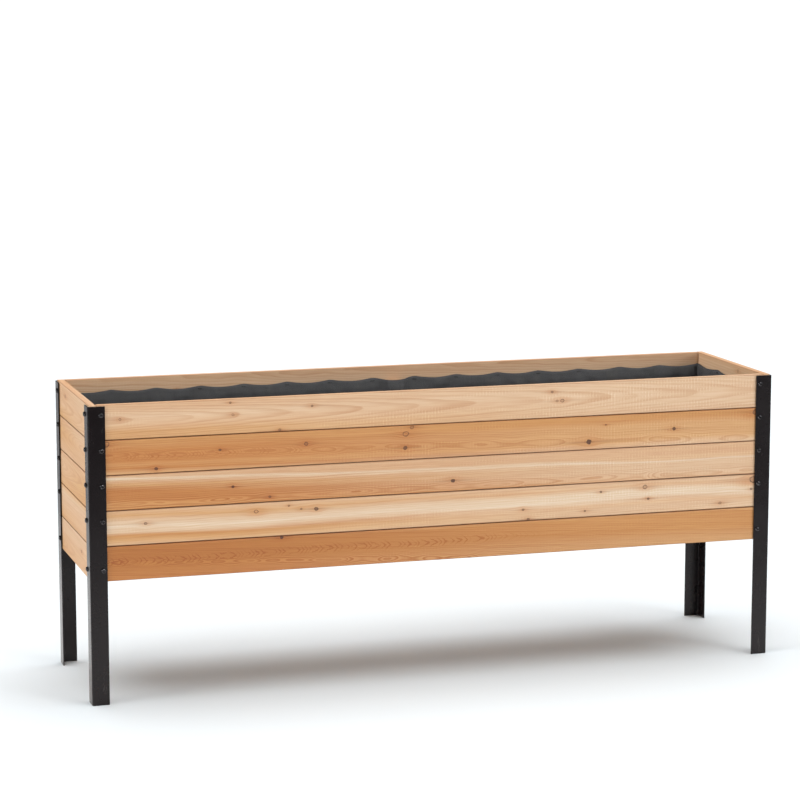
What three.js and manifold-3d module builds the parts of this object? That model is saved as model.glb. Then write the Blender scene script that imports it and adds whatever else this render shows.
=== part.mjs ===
// Raised cedar planter: five boards a side, held at the corners by four steel angle legs.
// Millimetres, +Z up. The origin is on the ground at the middle of the footprint.
// +X runs along the length to the right, +Y runs from front to back.

import * as THREE from 'three';
import { mergeVertices } from 'three/addons/utils/BufferGeometryUtils.js';
import Module from 'manifold-3d';

const wasm = await Module();
wasm.setup();

// Outer face to outer face of the legs
const overallLength = 1829;
const overallDepth = 460;

// Legs, bent from steel sheet into an angle
const legHeight = 755;
const flangeWidth = 44;
const steel = 3;
const bendRadius = 4.5;
const bendSteps = 5;

// Wall boards, counted from the top
const boardRows = 5;
const boardPitch = 89;
const boardHeight = 88;
const boardThickness = 19;
const boardEase = 1.2;
const boxTop = 758;

// Button-head screws, one through each flange into each board
const headRadius = 6.5;
const headHeight = 4;
const socketAcross = 5;
const socketDepth = 2.4;
const shankRadius = 3;
const screwLength = 19;
const screwInset = 33.8;
const screwBelowBoardTop = 25;
const lastScrewAboveBoardBottom = 28.5;
const roundSides = 8;

// A hidden tie joins the five screws of a flange into one solid
const tieThickness = 0.5;
const tieWidth = 9;

// Floor
const slatCount = 18;
const slatWidth = 89;
const slatThickness = 19;
const ledgerHeight = 38;
const ledgerThickness = 19;
const ledgerLift = 2;

// Upright battens at mid-length, inside the two long walls
const battenWidth = 38;
const battenThickness = 19;
const battenBelowTop = 38;

// Fabric liner
const linerThickness = 1.2;
const linerBelowTop = 28;

// Room left between pieces
const gap = 0.3;
const holeRoom = 0.3;
const flangeGap = tieThickness + 2 * gap;

// Worked out from the sizes above
const halfLength = overallLength / 2;
const halfDepth = overallDepth / 2;
const wallOuterX = halfLength - steel - flangeGap;
const wallOuterY = halfDepth - steel - flangeGap;
const wallInnerX = wallOuterX - boardThickness;
const wallInnerY = wallOuterY - boardThickness;
const boxBottom = boxTop - (boardRows - 1) * boardPitch - boardHeight;
const slatBottom = boxBottom + ledgerLift + ledgerHeight + gap;
const slatTop = slatBottom + slatThickness;
const linerTop = boxTop - linerBelowTop;

const planter = new THREE.Group();
planter.name = 'raised_planter';

function addPiece(name, geometry, finish) {
  const mesh = new THREE.Mesh(geometry, new THREE.MeshStandardMaterial(finish));
  mesh.name = name;
  planter.add(mesh);
}

// Solids for cutting and joining

function toSolid(geometry) {
  const bare = geometry.clone();
  bare.deleteAttribute('normal');
  bare.deleteAttribute('uv');
  const merged = mergeVertices(bare, 1e-4);
  return new wasm.Manifold(
    new wasm.Mesh({
      numProp: 3,
      vertProperties: new Float32Array(merged.attributes.position.array),
      triVerts: new Uint32Array(merged.index.array),
    })
  );
}

function toGeometry(solid) {
  const mesh = solid.getMesh();
  const geometry = new THREE.BufferGeometry();
  geometry.setAttribute('position', new THREE.BufferAttribute(mesh.vertProperties, 3));
  geometry.setIndex(new THREE.BufferAttribute(mesh.triVerts, 1));
  const flat = geometry.toNonIndexed();
  flat.computeVertexNormals();
  return flat;
}

function cut(geometry, cutters) {
  let solid = toSolid(geometry);
  for (const cutter of cutters) {
    solid = solid.subtract(toSolid(cutter));
  }
  return toGeometry(solid);
}

// A bar along X with its four long edges eased, centred on the origin
function easedBar(sizeX, sizeY, sizeZ) {
  const y = sizeY / 2;
  const z = sizeZ / 2;
  const e = boardEase;
  const section = new THREE.Shape([
    new THREE.Vector2(-y + e, -z),
    new THREE.Vector2(y - e, -z),
    new THREE.Vector2(y, -z + e),
    new THREE.Vector2(y, z - e),
    new THREE.Vector2(y - e, z),
    new THREE.Vector2(-y + e, z),
    new THREE.Vector2(-y, z - e),
    new THREE.Vector2(-y, -z + e),
  ]);
  const bar = new THREE.ExtrudeGeometry(section, { depth: sizeX, bevelEnabled: false });
  bar.translate(0, 0, -sizeX / 2);
  bar.rotateX(Math.PI / 2);
  bar.rotateZ(Math.PI / 2);
  return bar;
}

// A round bar whose axis is X or Y, centred on (x, y, z)
function roundBar(axis, radius, reach, x, y, z) {
  const bar = new THREE.CylinderGeometry(radius, radius, reach, roundSides);
  if (axis === 'x') {
    bar.rotateZ(Math.PI / 2);
  }
  return bar.translate(x, y, z);
}

// Height of a row's screw above the ground
function screwHeight(row) {
  const rowTop = boxTop - row * boardPitch;
  const lastRow = row === boardRows - 1;
  return lastRow ? rowTop - boardHeight + lastScrewAboveBoardBottom : rowTop - screwBelowBoardTop;
}

// Walls: the side boards run to the corners, and the front and back boards butt between them

const cedarTones = [0xdcbc8e, 0xd0a169, 0xd3a873, 0xe2c8a0, 0xc79558];

function cedar(row) {
  return { color: cedarTones[row], roughness: 0.7, metalness: 0 };
}

function pilotDepth() {
  return screwLength - steel - flangeGap + holeRoom;
}

function addWalls() {
  const longBoard = 2 * (wallInnerX - gap);
  const shortBoard = 2 * wallOuterY;
  const pilot = shankRadius + holeRoom;
  const reach = 2 * pilotDepth();
  for (let row = 0; row < boardRows; row += 1) {
    const z = boxTop - row * boardPitch - boardHeight / 2;
    const holeZ = screwHeight(row);
    for (const [name, side] of [['front', -1], ['back', 1]]) {
      const board = easedBar(longBoard, boardThickness, boardHeight);
      board.translate(0, side * (wallOuterY - boardThickness / 2), z);
      const holes = [-1, 1].map((end) =>
        roundBar('y', pilot, reach, end * (halfLength - screwInset), side * wallOuterY, holeZ)
      );
      addPiece(`${name}_board_${row + 1}`, cut(board, holes), cedar(row));
    }
    for (const [name, side] of [['left', -1], ['right', 1]]) {
      const board = easedBar(shortBoard, boardThickness, boardHeight).rotateZ(Math.PI / 2);
      board.translate(side * (wallOuterX - boardThickness / 2), 0, z);
      const holes = [-1, 1].map((end) =>
        roundBar('x', pilot, reach, side * wallOuterX, end * (halfDepth - screwInset), holeZ)
      );
      addPiece(`${name}_board_${row + 1}`, cut(board, holes), cedar(row));
    }
  }
}

// Legs: the outer corner is at the section's origin, with a flange along +X and one along +Y

const corners = [
  { name: 'front_left', x: -halfLength, y: -halfDepth, turn: 0, faces: ['front', 'side'] },
  { name: 'front_right', x: halfLength, y: -halfDepth, turn: 1, faces: ['side', 'front'] },
  { name: 'back_right', x: halfLength, y: halfDepth, turn: 2, faces: ['back', 'side'] },
  { name: 'back_left', x: -halfLength, y: halfDepth, turn: 3, faces: ['side', 'back'] },
];

function toCorner(geometry, corner) {
  geometry.rotateZ((corner.turn * Math.PI) / 2);
  return geometry.translate(corner.x, corner.y, 0);
}

function angleSection() {
  const section = new THREE.Shape();
  section.moveTo(bendRadius, 0);
  section.lineTo(flangeWidth, 0);
  section.lineTo(flangeWidth, steel);
  section.lineTo(bendRadius, steel);
  section.absarc(bendRadius, bendRadius, bendRadius - steel, -Math.PI / 2, -Math.PI, true);
  section.lineTo(steel, flangeWidth);
  section.lineTo(0, flangeWidth);
  section.lineTo(0, bendRadius);
  section.absarc(bendRadius, bendRadius, bendRadius, Math.PI, 1.5 * Math.PI, false);
  return section;
}

function addLegs() {
  const finish = { color: 0x1d1c1c, roughness: 0.5, metalness: 0.4 };
  const clearance = shankRadius + holeRoom;
  for (const corner of corners) {
    const angle = new THREE.ExtrudeGeometry(angleSection(), {
      depth: legHeight,
      bevelEnabled: false,
      curveSegments: bendSteps,
    });
    const holes = [];
    for (let row = 0; row < boardRows; row += 1) {
      const z = screwHeight(row);
      holes.push(roundBar('y', clearance, 4 * steel, screwInset, 0, z));
      holes.push(roundBar('x', clearance, 4 * steel, 0, screwInset, z));
    }
    addPiece(`${corner.name}_leg`, toCorner(cut(angle, holes), corner), finish);
  }
}

// Screws: the head stands on z = 0 and the shank points down

function screwSolid() {
  const profile = [
    [0, -screwLength],
    [shankRadius, -screwLength + 4],
    [shankRadius, gap],
    [headRadius, gap],
    [headRadius, gap + headHeight * 0.4],
    [headRadius * 0.65, gap + headHeight],
    [0, gap + headHeight],
  ];
  const points = profile.map(([x, y]) => new THREE.Vector2(x, y));
  const body = new THREE.LatheGeometry(points, roundSides).rotateX(Math.PI / 2);
  const socketRadius = socketAcross / Math.sqrt(3);
  const socket = new THREE.CylinderGeometry(socketRadius, socketRadius, 2 * socketDepth, 6);
  socket.rotateX(Math.PI / 2).translate(0, 0, gap + headHeight);
  return toSolid(body).subtract(toSolid(socket));
}

// The five screws of the flange along +X, with the tie between the flange and the boards
function screwRow(oneScrew) {
  let row = null;
  for (let i = 0; i < boardRows; i += 1) {
    const screw = toGeometry(oneScrew).rotateX(Math.PI / 2);
    const placed = toSolid(screw.translate(screwInset, 0, screwHeight(i)));
    row = row ? row.add(placed) : placed;
  }
  const high = screwHeight(0);
  const low = screwHeight(boardRows - 1);
  const tie = new THREE.BoxGeometry(tieWidth, tieThickness, high - low);
  tie.translate(screwInset, steel + gap + tieThickness / 2, (high + low) / 2);
  return toGeometry(row.add(toSolid(tie)));
}

// Mirrors the +X flange's row onto the +Y flange, and turns the faces the right way again
function swapXY(geometry) {
  const swapped = geometry.clone();
  const swap = new THREE.Matrix4().set(0, 1, 0, 0, 1, 0, 0, 0, 0, 0, 1, 0, 0, 0, 0, 1);
  swapped.applyMatrix4(swap);
  const p = swapped.attributes.position;
  const first = new THREE.Vector3();
  const last = new THREE.Vector3();
  for (let i = 0; i < p.count; i += 3) {
    first.fromBufferAttribute(p, i);
    last.fromBufferAttribute(p, i + 2);
    p.setXYZ(i, last.x, last.y, last.z);
    p.setXYZ(i + 2, first.x, first.y, first.z);
  }
  swapped.computeVertexNormals();
  return swapped;
}

function addScrews() {
  const finish = { color: 0x161616, roughness: 0.4, metalness: 0.6 };
  const alongX = screwRow(screwSolid());
  const alongY = swapXY(alongX);
  for (const corner of corners) {
    const [faceX, faceY] = corner.faces;
    addPiece(`${corner.name}_${faceX}_screws`, toCorner(alongX.clone(), corner), finish);
    addPiece(`${corner.name}_${faceY}_screws`, toCorner(alongY.clone(), corner), finish);
  }
}

// Floor: ledger strips along the bottom boards, with slats laid across them

function addFloor() {
  const finish = { color: 0xc79f6b, roughness: 0.8, metalness: 0 };
  const ledgerZ = boxBottom + ledgerLift + ledgerHeight / 2;
  const ledgerLength = 2 * (wallInnerX - gap);
  const endLedgerLength = 2 * (wallInnerY - ledgerThickness - 2 * gap);
  for (const [name, side] of [['front', -1], ['back', 1]]) {
    const ledger = easedBar(ledgerLength, ledgerThickness, ledgerHeight);
    ledger.translate(0, side * (wallInnerY - gap - ledgerThickness / 2), ledgerZ);
    addPiece(`${name}_ledger`, ledger, finish);
  }
  for (const [name, side] of [['left', -1], ['right', 1]]) {
    const ledger = easedBar(endLedgerLength, ledgerThickness, ledgerHeight).rotateZ(Math.PI / 2);
    ledger.translate(side * (wallInnerX - gap - ledgerThickness / 2), 0, ledgerZ);
    addPiece(`${name}_ledger`, ledger, finish);
  }
  const slatLength = 2 * (wallInnerY - 1);
  const spacing = (2 * wallInnerX - slatCount * slatWidth) / (slatCount + 1);
  for (let i = 0; i < slatCount; i += 1) {
    const x = -wallInnerX + spacing + slatWidth / 2 + i * (slatWidth + spacing);
    const slat = easedBar(slatLength, slatWidth, slatThickness).rotateZ(Math.PI / 2);
    slat.translate(x, 0, slatBottom + slatThickness / 2);
    addPiece(`floor_slat_${i + 1}`, slat, finish);
  }
}

// Battens stand on the slats and keep the five boards of a long wall in line

function addBattens() {
  const finish = { color: 0xc79f6b, roughness: 0.8, metalness: 0 };
  const low = slatTop + gap;
  const high = boxTop - battenBelowTop;
  for (const [name, side] of [['front', -1], ['back', 1]]) {
    const batten = easedBar(high - low, battenThickness, battenWidth).rotateY(Math.PI / 2);
    const y = side * (wallInnerY - gap - battenThickness / 2);
    addPiece(`${name}_batten`, batten.translate(0, y, (low + high) / 2), finish);
  }
}

// Liner: an open-topped fabric tub that steps round the battens

function linerOutline(inset) {
  const x = wallInnerX - 2 * gap - inset;
  const y = wallInnerY - 2 * gap - inset;
  const stepX = battenWidth / 2 + gap + inset;
  const stepY = wallInnerY - battenThickness - 3 * gap - inset;
  return [
    [-x, -y], [-stepX, -y], [-stepX, -stepY], [stepX, -stepY], [stepX, -y], [x, -y],
    [x, y], [stepX, y], [stepX, stepY], [-stepX, stepY], [-stepX, y], [-x, y],
  ].map(([px, py]) => new THREE.Vector2(px, py));
}

function addLiner() {
  const finish = { color: 0x1b1b1d, roughness: 0.9, metalness: 0 };
  const bottom = slatTop + gap;
  const outer = new THREE.ExtrudeGeometry(new THREE.Shape(linerOutline(0)), {
    depth: linerTop - bottom,
    bevelEnabled: false,
  });
  const inner = new THREE.ExtrudeGeometry(new THREE.Shape(linerOutline(linerThickness)), {
    depth: linerTop - bottom,
    bevelEnabled: false,
  });
  inner.translate(0, 0, linerThickness);
  addPiece('fabric_liner', cut(outer, [inner]).translate(0, 0, bottom), finish);
}

addWalls();
addLegs();
addScrews();
addFloor();
addBattens();
addLiner();

export default planter;
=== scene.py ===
import math
import random

import bmesh
import bpy
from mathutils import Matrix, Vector


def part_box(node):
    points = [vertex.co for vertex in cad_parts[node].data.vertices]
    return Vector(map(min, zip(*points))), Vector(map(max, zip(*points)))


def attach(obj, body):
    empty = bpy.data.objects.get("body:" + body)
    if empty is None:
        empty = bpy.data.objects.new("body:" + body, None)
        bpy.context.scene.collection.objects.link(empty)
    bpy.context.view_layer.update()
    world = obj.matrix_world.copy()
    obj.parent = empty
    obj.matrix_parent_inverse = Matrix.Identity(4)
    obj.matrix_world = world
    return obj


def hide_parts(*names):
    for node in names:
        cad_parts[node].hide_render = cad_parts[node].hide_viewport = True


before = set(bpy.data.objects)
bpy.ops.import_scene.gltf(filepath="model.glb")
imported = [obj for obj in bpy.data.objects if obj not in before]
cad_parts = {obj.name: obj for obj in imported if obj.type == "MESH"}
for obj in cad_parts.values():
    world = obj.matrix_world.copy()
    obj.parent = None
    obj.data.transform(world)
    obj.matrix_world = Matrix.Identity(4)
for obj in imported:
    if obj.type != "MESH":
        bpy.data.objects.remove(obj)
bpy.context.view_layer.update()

print("planter: frame loaded")


# Small helpers for node trees. A value is a number or another node's socket.
def plug(tree, socket, value):
    if isinstance(value, bpy.types.NodeSocket):
        tree.links.new(value, socket)
    else:
        socket.default_value = value


def addNode(tree, kind, inputs=None, **settings):
    node = tree.nodes.new(kind)
    for name, value in settings.items():
        setattr(node, name, value)
    for name, value in (inputs or {}).items():
        socket = next(s for s in node.inputs if s.name == name and s.enabled)
        plug(tree, socket, value)
    return node


# The output that a new node shows first
def made(tree, kind, inputs=None, **settings):
    return next(s for s in addNode(tree, kind, inputs, **settings).outputs if s.enabled)


def calc(tree, operation, *values):
    node = addNode(tree, "ShaderNodeMath", operation=operation)
    for socket, value in zip(node.inputs, values):
        plug(tree, socket, value)
    return node.outputs[0]


def times(tree, first, second):
    return calc(tree, "MULTIPLY", first, second)


# first * second + third
def timesPlus(tree, first, second, third):
    return calc(tree, "MULTIPLY_ADD", first, second, third)


def minus(tree, first, second):
    return calc(tree, "SUBTRACT", first, second)


def vectorCalc(tree, operation, *values):
    node = addNode(tree, "ShaderNodeVectorMath", operation=operation)
    for socket, value in zip(node.inputs, values):
        plug(tree, socket, value)
    return node.outputs[0]


def combine(tree, x, y, z):
    return made(tree, "ShaderNodeCombineXYZ", {"X": x, "Y": y, "Z": z})


def noise(tree, vector, scale=1.0, detail=2.0, roughness=0.5):
    inputs = {"Vector": vector, "Scale": scale, "Detail": detail, "Roughness": roughness}
    return made(tree, "ShaderNodeTexNoise", inputs)


def ease(tree, value, low, high, toLow=0.0, toHigh=1.0):
    inputs = {"Value": value, "From Min": low, "From Max": high, "To Min": toLow, "To Max": toHigh}
    return made(tree, "ShaderNodeMapRange", inputs, interpolation_type="SMOOTHSTEP")


def blendColour(tree, factor, first, second, mode="MIX"):
    inputs = {"Factor": factor, "A": first, "B": second}
    return made(tree, "ShaderNodeMix", inputs, data_type="RGBA", blend_type=mode)


# What a colour becomes where another is laid over it
def stain(tree, base, over):
    return blendColour(tree, 1.0, base, over, "MULTIPLY")


def splitVector(tree, vector):
    return addNode(tree, "ShaderNodeSeparateXYZ", {"Vector": vector}).outputs


def objectPlace(tree):
    return addNode(tree, "ShaderNodeTexCoord").outputs["Object"]


# exp(-x), which is 1 at 0 and falls away
def fade(tree, value):
    return calc(tree, "EXPONENT", times(tree, value, -1.0))


# An input's kind follows from its first value, or is named where it has none
inputKinds = {float: "Float", int: "Int", tuple: "Vector"}


def newTree(name, treeKind, inputs, outputs):
    tree = bpy.data.node_groups.new(name, treeKind)
    for label, value in inputs.items():
        kind = inputKinds.get(type(value), value)
        socket = tree.interface.new_socket(label, in_out="INPUT", socket_type="NodeSocket" + kind)
        if kind != value:
            socket.default_value = value
    for label, kind in outputs.items():
        tree.interface.new_socket(label, in_out="OUTPUT", socket_type="NodeSocket" + kind)
    return tree, addNode(tree, "NodeGroupInput").outputs


def newGeometryTree(name, inputs):
    return newTree(name, "GeometryNodeTree", inputs, {"Geometry": "Geometry"})


def colour(red, green, blue):
    return (red, green, blue, 1.0)


def newMaterial(name):
    material = bpy.data.materials.new(name)
    material.use_nodes = True
    tree = material.node_tree
    return material, tree, tree.nodes["Principled BSDF"]


def addBump(tree, shader, height, distance):
    bump = made(tree, "ShaderNodeBump", {"Height": height, "Distance": distance})
    plug(tree, shader.inputs["Normal"], bump)


def setShader(shader, **values):
    for name, value in values.items():
        shader.inputs[name.replace("_", " ")].default_value = value


# Every geometry tree ends in real faces with their material
def endTree(tree, geometry, material):
    real = made(tree, "GeometryNodeRealizeInstances", {"Geometry": geometry})
    coated = made(tree, "GeometryNodeSetMaterial", {"Geometry": real, "Material": material})
    plug(tree, addNode(tree, "NodeGroupOutput").inputs[0], coated)
    return tree


# Copies of a template stand on points, all turned one way and then each by its own spin
def endRow(tree, given, points, template, turn, spin):
    shape = addNode(tree, "GeometryNodeObjectInfo", {"Object": given[template]}).outputs["Geometry"]
    places = {"Points": points, "Instance": shape, "Rotation": turn}
    row = made(tree, "GeometryNodeInstanceOnPoints", places)
    turned = made(tree, "GeometryNodeRotateInstances", {"Instances": row, "Rotation": spin})
    return endTree(tree, turned, given["Material"])


# Rounds the sharp edges a little
def addBevel(piece, width):
    edge = piece.modifiers.new("edge", "BEVEL")
    edge.width = width
    edge.segments = 3
    edge.limit_method = "ANGLE"
    edge.angle_limit = math.radians(40)
    edge.harden_normals = True


def addObject(name, data):
    thing = bpy.data.objects.new(name, data)
    bpy.context.scene.collection.objects.link(thing)
    return thing


# Runs a geometry tree once and keeps its result as a plain mesh
def growPiece(name, tree, values, bevel=None):
    piece = addObject(name, bpy.data.meshes.new(name))
    modifier = piece.modifiers.new("grow", "NODES")
    modifier.node_group = tree
    for item in tree.interface.items_tree:
        if item.in_out == "INPUT" and item.name in values:
            modifier[item.identifier] = values[item.name]
    if bevel:
        addBevel(piece, bevel)
    graph = bpy.context.evaluated_depsgraph_get()
    mesh = bpy.data.meshes.new_from_object(
        piece.evaluated_get(graph), preserve_all_data_layers=True, depsgraph=graph
    )
    piece.modifiers.clear()
    piece.data = mesh
    mesh.name = name
    return piece


def meshPiece(name, form, material):
    mesh = bpy.data.meshes.new(name)
    bmesh.ops.recalc_face_normals(form, faces=form.faces)
    form.to_mesh(mesh)
    form.free()
    piece = addObject(name, mesh)
    if material:
        mesh.materials.append(material)
    return piece


# A band of faces between two closed loops of vertices
def joinLoops(form, first, second):
    for i in range(len(first)):
        j = (i + 1) % len(first)
        form.faces.new((first[i], first[j], second[j], second[i]))


def settle(piece, slot, *nodes):
    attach(piece, "root")
    if nodes:
        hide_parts(*nodes)


# Cedar: one grain pattern and one knot pattern are shared by every board
woodTones = {
    "cream": (0.62, 0.475, 0.335),
    "pale": (0.575, 0.385, 0.24),
    "blush": (0.56, 0.345, 0.195),
    "honey": (0.53, 0.295, 0.128),
    "amber": (0.482, 0.226, 0.072),
    "orange": (0.437, 0.173, 0.044),
    "russet": (0.398, 0.15, 0.031),
}
# Stains laid over the wood. The one for the board edges is painted shade from the seams between
# boards.
woodStains = {
    "latewood": (0.74, 0.55, 0.37),
    "seamShade": (0.42, 0.28, 0.2),
    "halo": (0.88, 0.7, 0.55),
    "knot": (0.048, 0.013, 0.006),
}
sawPitch = 0.0086


# Growth rings round a heart line that may lie outside the board, cut by the board's own shape
def makeGrainGroup():
    labels = ["Along", "Through", "Across", "Heart Across", "Heart Through", "Slope Across"]
    labels += ["Slope Through", "Ring Width", "Wander", "Hills", "Hill Rate", "Seed"]
    outputs = dict.fromkeys(("Late", "Fibre", "Streak", "Drift"), "Float")
    tree, given = newTree("cedarGrain", "ShaderNodeTree", dict.fromkeys(labels, 0.0), outputs)
    along, through, across = given["Along"], given["Through"], given["Across"]
    seedAlong = timesPlus(tree, given["Seed"], 7.31, along)

    def stretched(alongScale, acrossScale, detail, roughness=0.5):
        scales = ((seedAlong, alongScale), (through, acrossScale), (across, acrossScale))
        where = combine(tree, *(times(tree, place, scale) for place, scale in scales))
        return minus(tree, noise(tree, where, 1.0, detail, roughness), 0.5)

    slow = stretched(2.2, 3.0, 2.0)
    waver = stretched(10.0, 30.0, 2.0)
    heartAcross = timesPlus(tree, given["Slope Across"], along, given["Heart Across"])
    heartThrough = timesPlus(tree, given["Slope Through"], along, given["Heart Through"])
    heartThrough = timesPlus(tree, slow, given["Wander"], heartThrough)
    hillPlace = times(tree, seedAlong, given["Hill Rate"])
    rolling = noise(tree, combine(tree, hillPlace, times(tree, across, 9.0), 0.0), 1.0, 1.5)
    rolling = minus(tree, rolling, 0.5)
    heartThrough = timesPlus(tree, rolling, given["Hills"], heartThrough)
    side = minus(tree, across, heartAcross)
    deep = minus(tree, through, heartThrough)
    sideSquared = times(tree, side, side)
    radius = calc(tree, "SQRT", timesPlus(tree, deep, deep, sideSquared))
    radius = timesPlus(tree, waver, times(tree, given["Wander"], 0.35), radius)
    rings = calc(tree, "DIVIDE", radius, given["Ring Width"])
    uneven = noise(tree, combine(tree, times(tree, rings, 0.4), given["Seed"], 0.0))
    rings = timesPlus(tree, uneven, 2.2, rings)
    part = calc(tree, "FRACT", rings)
    rise = ease(tree, part, 0.3, 0.9)
    fall = ease(tree, part, 0.93, 1.0, 1.0, 0.0)
    whole = calc(tree, "FLOOR", rings)
    each = made(tree, "ShaderNodeTexWhiteNoise", {"W": whole}, noise_dimensions="1D")
    weight = timesPlus(tree, each, 0.6, 0.4)
    late = times(tree, times(tree, rise, fall), weight)
    ends = addNode(tree, "NodeGroupOutput")
    plug(tree, ends.inputs["Late"], late)
    plug(tree, ends.inputs["Fibre"], stretched(16.0, 620.0, 3.0, 0.6))
    plug(tree, ends.inputs["Streak"], stretched(1.6, 70.0, 4.0, 0.72))
    plug(tree, ends.inputs["Drift"], stretched(1.4, 4.0, 1.0))
    return tree


# One knot. It bends the grain round itself, and passes on what earlier knots gave.
def makeKnotGroup():
    labels = ("Along", "Across", "Warp", "Knot Along", "Knot Across", "Size", "Dark")
    passed = ("Shift", "Body", "Warm")
    inputs, outputs = dict.fromkeys((*labels, *passed), 0.0), dict.fromkeys(passed, "Float")
    tree, given = newTree("cedarKnot", "ShaderNodeTree", inputs, outputs)
    size, dark = given["Size"], given["Dark"]
    dx = minus(tree, given["Along"], given["Knot Along"])
    dz = minus(tree, given["Across"], given["Knot Across"])

    def reach(alongSizes, acrossSizes):
        a = calc(tree, "DIVIDE", dx, times(tree, size, alongSizes))
        b = calc(tree, "DIVIDE", dz, times(tree, size, acrossSizes))
        return timesPlus(tree, a, a, times(tree, b, b))

    near = timesPlus(tree, given["Warp"], 0.9, calc(tree, "SQRT", reach(1.2, 1.0)))
    rim = ease(tree, calc(tree, "ABSOLUTE", minus(tree, near, 0.8)), 0.04, 0.26, 1.0, 0.0)
    rim = times(tree, rim, timesPlus(tree, dark, 0.25, 0.72))
    core = times(tree, ease(tree, near, 0.6, 1.0, 1.0, 0.0), dark)
    # thin dark tails run out along the grain
    tail = times(tree, fade(tree, reach(3.6, 0.34)), timesPlus(tree, dark, 0.4, 0.12))
    trail = times(tree, fade(tree, reach(10.0, 0.4)), timesPlus(tree, dark, 0.2, 0.1))
    core = calc(tree, "MAXIMUM", core, calc(tree, "MAXIMUM", tail, trail))
    warm = fade(tree, reach(5.0, 1.9))
    pull = times(tree, dz, fade(tree, reach(4.5, 2.2)))
    ends = addNode(tree, "NodeGroupOutput")
    plug(tree, ends.inputs["Shift"], timesPlus(tree, pull, -0.92, given["Shift"]))
    body = calc(tree, "MAXIMUM", calc(tree, "MAXIMUM", rim, core), given["Body"])
    plug(tree, ends.inputs["Body"], body)
    plug(tree, ends.inputs["Warm"], calc(tree, "MAXIMUM", warm, given["Warm"]))
    return tree


grainGroup = makeGrainGroup()
knotGroup = makeKnotGroup()


def toneRamp(tree, factor, stops):
    ramp = addNode(tree, "ShaderNodeValToRGB", {"Fac": factor})
    elements = ramp.color_ramp.elements
    while len(elements) < len(stops):
        elements.new(1.0)
    for element, (position, tone) in zip(elements, stops):
        element.position = position
        element.color = colour(*woodTones[tone])
    return ramp.outputs[0]


def useGroup(tree, group, values):
    node = tree.nodes.new("ShaderNodeGroup")
    node.node_tree = group
    for label, value in values.items():
        plug(tree, node.inputs[label], value)
    return node.outputs


# What a look says, in mm from the board's middle. heart is the heart line's place (across, through)
# and slope is how that changes in a metre. bands are (place from the top edge, tone at the left end,
# tone at the right end, which is paler partly from painted sheen) and bandSlope is their fall in a
# metre. knots are (along, across, radius, darkness). hills are (depth, length) of waves in the heart
# line. figure is (across, half width, pitch, strength, from, to). lines and saw are the strength of
# those marks, and edge is the strength of the painted shade along the long edges and top and bottom
# faces.
plainLook = {"hills": (0, 100), "saw": 0.0, "edge": 0.7, "bandSlope": 0.0, "knots": []}


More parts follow.
